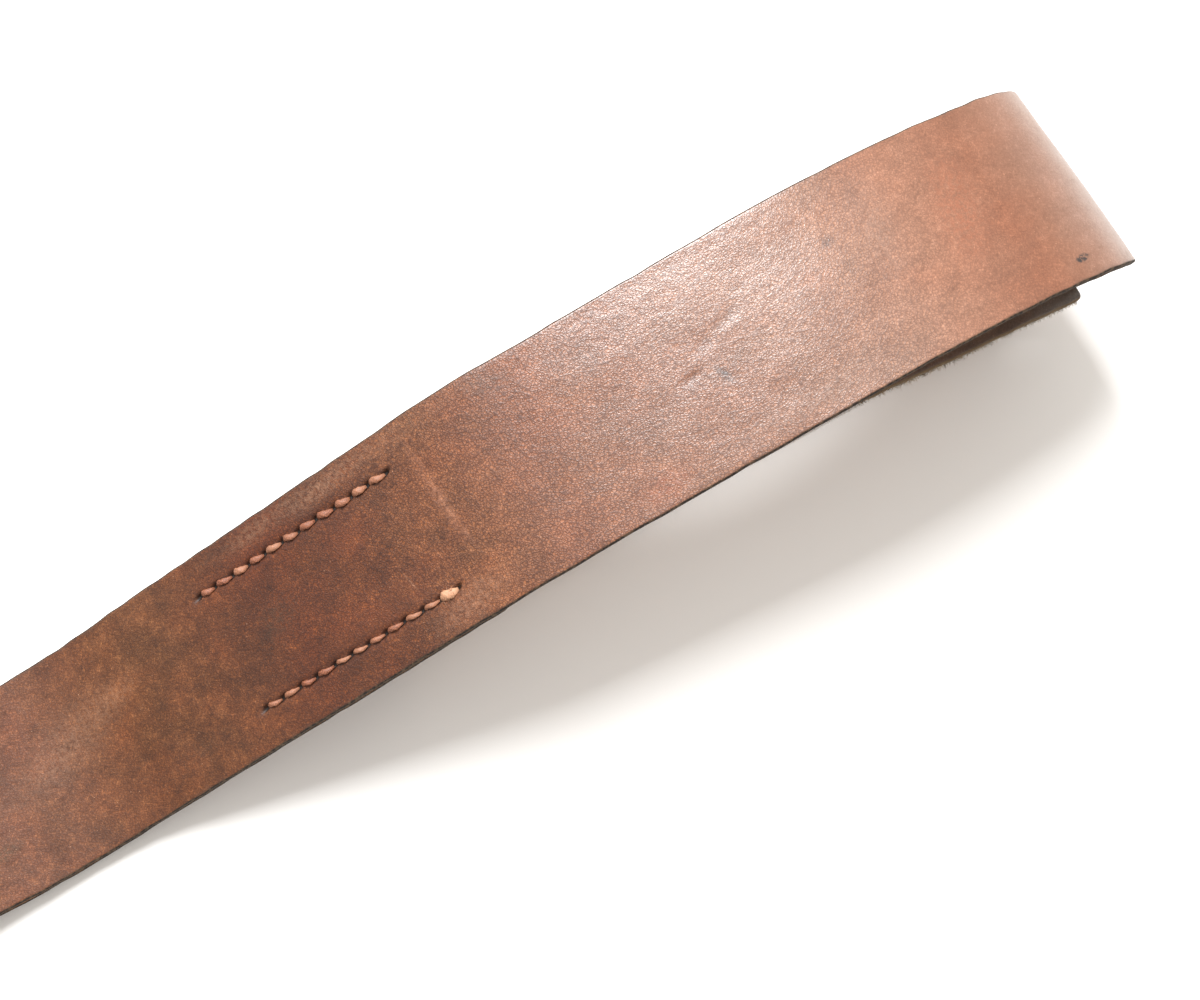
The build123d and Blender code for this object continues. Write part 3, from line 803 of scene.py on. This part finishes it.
class Loop:
    """Closed rounded-rectangle line in the YZ plane for a keeper."""

    def __init__(self, x, width, inside, low, high, skin, corner):
        self.x, self.width, self.skin = x, width, skin
        hy, hz, zc = inside / 2 + skin, (high - low) / 2 + skin, (high + low) / 2
        points = []
        for sy, sz, a0 in ((1, 1, 0), (-1, 1, 90), (-1, -1, 180), (1, -1, 270)):
            for a in np.radians(np.linspace(a0, a0 + 90, 7)):
                y = sy * (hy - corner) + corner * math.cos(a)
                points.append((y, zc + sz * (hz - corner) + corner * math.sin(a)))
        line = np.array(points + points[:1])
        gaps = np.linalg.norm(np.diff(line, axis=0), axis=1)
        at = np.concatenate([[0], np.cumsum(gaps)])
        self.length = at[-1]
        self.s = np.linspace(0, self.length, 180, endpoint=False)
        self.line = np.stack([np.interp(self.s, at, line[:, k]) for k in (0, 1)], -1)

    def build(self, name, seed):
        half, skin, edge = self.width / 2, self.skin, 0.5
        face = np.linspace(-half + edge, half - edge, 9)
        side = edge_profile(half, skin, edge, 3)
        ring = [(v, skin) for v in face] + side
        ring += [(v, -skin) for v in reversed(face)] + [(-v, h) for v, h in reversed(side)]
        v, h = np.array(ring).T
        ahead, behind = np.roll(self.line, -1, 0), np.roll(self.line, 1, 0)
        along = (ahead - behind) / np.linalg.norm(ahead - behind, axis=1, keepdims=True)
        out = np.stack([along[:, 1], -along[:, 0]], -1)
        n, m = len(self.s), len(v)
        s = np.repeat(self.s, m)
        vv, hh = np.tile(v, n), np.tile(h, n)
        vv = vv * (1 + 0.012 * drift(s, 0 * s, (9, 1), seed))
        hh = hh + 0.05 * drift(s, vv, (7, 5), seed + 1) * np.sign(hh)
        yz = np.repeat(self.line, m, 0) + np.repeat(out, m, 0) * hh[:, None]
        co = np.stack([self.x + vv, yz[:, 0], yz[:, 1]], -1) * MM
        faces = [
            (i * m + j, ((i + 1) % n) * m + j, ((i + 1) % n) * m + (j + 1) % m, i * m + (j + 1) % m)
            for i in range(n)
            for j in range(m)
        ]
        cut = np.stack([s, vv, hh], -1)
        rim, face = half - np.abs(vv), np.clip(hh / skin, -1, 1)
        return finished(name, co, faces, cut=cut, pit=0 * rim, rim=rim, face=face)


KEEPER_LEATHER, KEEPER_PLAY, KEEPER_WIDTH, KEEPER_CORNER = 2.0, 0.4, 9.0, 2.0
keeper_low = LOWER_Z - SKIN - KEEPER_PLAY
keeper_high = TAIL_LAP_Z + SKIN + KEEPER_PLAY
keeper_tones = [(place, (92, 60, 45)) for place in (0.0, 1.0)]
keeper_grit = [(place, 0.35, 0.2, 0.8) for place in (0.0, 1.0)]
keeper_look = leather_look("keeper_leather", keeper_tones, keeper_grit)
keepers = {}
for name, x, seed in (("fixed_keeper", -71.0, 61), ("sliding_keeper", -50.0, 67)):
    inside = WIDTH + 3 * KEEPER_PLAY
    loop = Loop(
        x, KEEPER_WIDTH, inside, keeper_low, keeper_high, KEEPER_LEATHER / 2, KEEPER_CORNER
    )
    keepers[name] = loop.build(name + "_leather", seed)
    keepers[name].data.materials.append(keeper_look)

# ---------------------------------------------------------------- thread
SUNK, BULGE = 1.15, 1.32  # a stitch's ends under the face, and its middle over them
FRAYED_HAIRS, EDGE_HAIRS, END_HAIRS = 90, 1100, 160
HAIRY_LENGTH = 100.0  # of the rolled-up end's near edge


def thread_run(band, a, b, half_wide, high, rng):
    """Points, faces and twist of one saddle stitch between two awl holes, sunk into both."""
    along, around = 22, 18
    u = np.linspace(0, 1, along)[:, None]
    phi = np.linspace(0, 2 * math.pi, around, endpoint=False)[None, :]
    belly = np.sin(np.pi * u) ** 0.75
    body = 0.34 + 0.66 * belly
    lumps = 1 + 0.05 * np.sin(5 * u * math.pi + rng.uniform(0, 6))
    strands = 0.86 + 0.14 * np.abs(np.cos(1.5 * (phi - 2 * math.pi * 1.15 * u) + rng.uniform(0, 3)))
    width = half_wide * body * strands * lumps
    height = high * body * strands
    s0, y0 = a
    s1, y1 = b
    slant = rng.uniform(0.10, 0.22)
    mid_s = s0 + (s1 - s0) * u
    mid_y = y0 + (y1 - y0) * u - slant * np.sin(2 * np.pi * (u - 0.5))
    mid_h = SKIN - SUNK + BULGE * belly
    s = mid_s + 0 * phi
    y = mid_y + width * np.cos(phi)
    h = mid_h + height * np.sin(phi)
    co = band.place(s, y, h).reshape(-1, 3)
    faces = []
    for i in range(along - 1):
        for j in range(around):
            k = (j + 1) % around
            here, onward = i * around, (i + 1) * around
            faces.append((here + j, here + k, onward + k, onward + j))
    faces.append(tuple(reversed(range(around))))
    faces.append(tuple(range((along - 1) * around, along * around)))
    turns = np.stack([s, width * np.cos(phi) * 2 + 0 * s, phi + 0 * s], -1).reshape(-1, 3)
    return co, faces, turns


def join_parts(name, parts):
    """One object from several (points, faces, twist) parts, each with its paleness."""
    co, faces, turns, shade, first = [], [], [], [], 0
    for part, tint in parts:
        co.append(part[0])
        faces += [tuple(first + i for i in f) for f in part[1]]
        turns.append(part[2])
        shade.append(np.full(len(part[0]), tint))
        first += len(part[0])
    co, turns, shade = (np.concatenate(each) for each in (co, turns, shade))
    return finished(name, co, faces, twist=turns, tint=shade)


THIRDS = (0, 2.094, 4.189)  # of a turn


def fibre(start, way, length, thick, rng, bend=0.5):
    """A fine curved hair as a tapering three-sided tube."""
    start, way = np.array(start, float), np.array(way, float)
    way /= np.linalg.norm(way)
    curl = rng.normal(size=3)
    curl -= way * (curl @ way)
    curl /= np.linalg.norm(curl)
    other = np.cross(way, curl)
    co = []
    count = 5
    for i in range(count):
        t = i / (count - 1)
        mid = start + way * length * t + curl * length * bend * t * t
        r = thick * (1 - 0.75 * t)
        for a in THIRDS:
            co.append(mid + (curl * math.cos(a) + other * math.sin(a)) * r)
    faces = [
        (i * 3 + j, i * 3 + (j + 1) % 3, (i + 1) * 3 + (j + 1) % 3, (i + 1) * 3 + j)
        for i in range(count - 1)
        for j in range(3)
    ]
    faces += [(2, 1, 0), (count * 3 - 3, count * 3 - 2, count * 3 - 1)]
    co = np.array(co)
    return co, faces, np.repeat(start[None] * (1 / MM), len(co), 0)


thread = Look("waxed_thread")
twist = thread.attribute("twist", "Vector")
tint = thread.attribute("tint")
ply_shade = thread.noise(twist, 2.2, 3, 0.65, stretch=(2.2, 1, 0.9))
thread_tone = thread.mix(thread.fade(ply_shade, 0.34, 0.66), rgb(84, 44, 29), rgb(160, 98, 70))
thread_tone = thread.mix(tint, thread_tone, rgb(206, 158, 124))
thread_look = thread.done(
    Base_Color=thread_tone, Roughness=0.5, Normal=thread.bump(ply_shade, 0.0002, 0.5)
)

lower_shift = PLY * SLOPE_NORMAL


def lower_s(x):
    """Distance along the shoulder strap of a point of the lower ply."""
    lower = shoulder.at < S_FOLD
    return float(np.interp(-x, -shoulder.line[lower, 0], shoulder.at[lower]))


def stitch_row(name, row):
    """The far row (1) or the near row (-1): its top stitches, its undersides, and a frayed end."""
    rng = np.random.default_rng(70 + row)
    places = awl_places(row)
    half_wide, high = (0.88, 0.6) if row > 0 else (0.66, 0.5)
    parts = []
    for k, (a, b) in enumerate(zip(places, places[1:])):
        last = row < 0 and k == STITCH_COUNT - 1
        swell = rng.uniform(0.9, 1.1)
        if last:
            part = thread_run(strap, a, b, 1.25, 0.85, rng)
        else:
            start, stop = (a[0] + 0.55, a[1]), (b[0] - 0.4, b[1])
            part = thread_run(strap, start, stop, half_wide * swell, high * swell, rng)
        parts.append((part, 0.75 if last else rng.uniform(0.0, 0.25)))
    under = []
    for s, y in places:
        point, _ = shoulder.read(np.array(s))
        under.append((lower_s(point[0] - lower_shift[0]), y))
    for a, b in zip(under, under[1:]):
        parts.append((thread_run(strap, a, b, 0.8, 0.5, rng), 0.1))
    if row < 0:
        middle = ((places[-1][0] + places[-2][0]) / 2, (places[-1][1] + places[-2][1]) / 2)
        for _ in range(FRAYED_HAIRS):
            s = middle[0] + rng.uniform(-1.6, 1.6)
            y = middle[1] + rng.uniform(-1.0, 1.0)
            base = strap.place(s, y, SKIN + 0.35)
            way = np.array([rng.normal() * 0.9, rng.normal() * 0.9, 0.55 + rng.random() * 0.5])
            parts.append((fibre(base, way, rng.uniform(0.5, 1.3) * MM, 0.035 * MM, rng), 0.9))
    made = join_parts(name, parts)
    made.data.materials.append(thread_look)
    return made


far_stitches = stitch_row("far_stitch_row", 1)
near_stitches = stitch_row("near_stitch_row", -1)

# ---------------------------------------------------------------- loose fibres of the cut edges
fibre_parts = []
rng = np.random.default_rng(91)
for _ in range(EDGE_HAIRS):
    s = shoulder.length - rng.uniform(0.0, HAIRY_LENGTH)
    y = -HALF + 0.1 + rng.uniform(0, 0.5)
    base = strap.place(s, y, -SKIN + rng.uniform(0, 0.5))
    way = np.array([rng.normal() * 0.6, -0.8 - rng.random() * 0.4, -0.5 + rng.normal() * 0.4])
    fibre_parts.append((fibre(base, way, rng.uniform(0.3, 1.15) * MM, 0.06 * MM, rng, 0.7), 0.0))
for _ in range(END_HAIRS):
    y = rng.uniform(-HALF, HALF)
    base = strap.place(shoulder.length - 0.05, y * 0.98, rng.uniform(-SKIN, 0.2))
    way = np.array([0.8 + rng.random() * 0.4, rng.normal() * 0.5, -0.5 + rng.normal() * 0.5])
    fibre_parts.append((fibre(base, way, rng.uniform(0.3, 0.9) * MM, 0.05 * MM, rng, 0.7), 0.0))
rolled_end_fibres = join_parts("rolled_end_fibres", fibre_parts)
hairs = Look("leather_fibres")
hair_at = hairs.attribute("twist", "Vector")
hair_shade = hairs.fade(hairs.noise(hair_at, 0.9, 2), 0.4, 0.6)
hair_tone = hairs.mix(hair_shade, rgb(78, 58, 38), rgb(158, 128, 88))
rolled_end_fibres.data.materials.append(hairs.done(Base_Color=hair_tone, Roughness=0.8))

# ---------------------------------------------------------------- brass


def brass_look(name, bright, dull):
    look = Look(name)
    at = look.node("TexCoord").outputs["Object"]
    cloudy = look.noise(at, 90, 5, 0.62, 0.6)
    scratches = look.noise(at, 900, 3, 0.6, stretch=(1, 0.12, 1))
    tone = look.mix(look.fade(cloudy, 0.38, 0.64), rgb(*dull), rgb(*bright))
    scratched = look.fade(scratches, 0.4, 0.7, 0.0, 0.12)
    rough = look.math("ADD", look.fade(cloudy, 0.35, 0.65, 0.36, 0.2), scratched)
    normal = look.bump(scratches, 0.00004, 0.4, look.bump(cloudy, 0.0002, 0.25))
    return look.done(Base_Color=tone, Metallic=1.0, Roughness=rough, Normal=normal)


brass = brass_look("worn_brass", (214, 178, 112), (146, 112, 66))
rivet_brass = brass_look("rivet_brass", (206, 160, 110), (128, 90, 62))
for node, look in (
    ("buckle_frame", brass), ("buckle_roller", brass), ("buckle_prong", brass),
    ("rivet_posts", rivet_brass), ("rivet_caps", rivet_brass),
):
    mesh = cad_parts[node].data
    mesh.materials.clear()
    mesh.materials.append(look)

# ---------------------------------------------------------------- what rides on what
for piece, body, node, slot in (
    (shoulder_strap, "strap", "shoulder_strap", "leather"),
    (tail_strap, "strap", "tail_strap", "tail_leather"),
    (keepers["fixed_keeper"], "strap", "fixed_keeper", "keeper_leather"),
    (keepers["sliding_keeper"], "keeper", "sliding_keeper", "keeper_leather"),
    (far_stitches, "strap", "far_stitches", "thread"),
    (near_stitches, "strap", "near_stitches", "thread"),
    (rolled_end_fibres, "strap", None, "leather"),
):
    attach(piece, body)
    if node:
        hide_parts(node)

# ---------------------------------------------------------------- table, light and camera
floor_mesh = bpy.data.meshes.new("table")
FLOOR_REACH = 6.0
corners = [(i * FLOOR_REACH, j * FLOOR_REACH, 0) for i, j in ((-1, -1), (1, -1), (1, 1), (-1, 1))]
floor_mesh.from_pydata(corners, [], [(0, 1, 2, 3)])
table = bpy.data.objects.new("table", floor_mesh)
bpy.context.scene.collection.objects.link(table)
paper = Look("white_paper")
paper_at = paper.node("TexCoord").outputs["Object"]
paper_tone = paper.mix(paper.noise(paper_at, 3.0, 2), rgb(243, 242, 240), rgb(246, 245, 243))
table.data.materials.append(paper.done(Base_Color=paper_tone, Roughness=0.9))

scene = bpy.context.scene
scene.view_settings.view_transform = "Standard"
world = bpy.data.worlds.new("studio")
scene.world = world
world.use_nodes = True
background = world.node_tree.nodes["Background"]
background.inputs["Color"].default_value = (1.0, 0.955, 0.905, 1)
# the room is brighter towards the softbox and darker on the strap's buckle side
sky = world.node_tree.nodes.new("ShaderNodeTexCoord")
towards = world.node_tree.nodes.new("ShaderNodeVectorMath")
towards.operation = "DOT_PRODUCT"
towards.inputs[1].default_value = Vector((0.75, 0.3, 0.6)).normalized()
level = world.node_tree.nodes.new("ShaderNodeMapRange")
for key, value in (("From Min", -0.7), ("From Max", 0.9), ("To Min", 0.25), ("To Max", 1.2)):
    level.inputs[key].default_value = value
world.node_tree.links.new(sky.outputs["Generated"], towards.inputs[0])
world.node_tree.links.new(towards.outputs["Value"], level.inputs["Value"])
world.node_tree.links.new(level.outputs[0], background.inputs["Strength"])

aim = Vector((0.18, -0.02, 0.05))
softbox = bpy.data.lights.new("softbox", "AREA")
softbox.shape = "RECTANGLE"
softbox.size, softbox.size_y = 0.32, 0.38
softbox.energy = 13.0
softbox.color = (0.97, 0.985, 1.0)
key = bpy.data.objects.new("softbox", softbox)
key.location = (0.205, 0.45, 0.76)
key.rotation_euler = (key.location - aim).to_track_quat("Z", "Y").to_euler()
scene.collection.objects.link(key)

camera_data = bpy.data.cameras.new("camera")
camera_data.sensor_width = 36.0
camera_data.lens = 45.0
camera_data.clip_start, camera_data.clip_end = 0.01, 20.0
camera = bpy.data.objects.new("camera", camera_data)
camera.location = (0.1060, -0.05405, 0.38785)
camera.rotation_euler = (math.radians(9.80737), math.radians(-3.50052), math.radians(-29.69681))
scene.collection.objects.link(camera)
scene.camera = camera

bpy.context.view_layer.update()
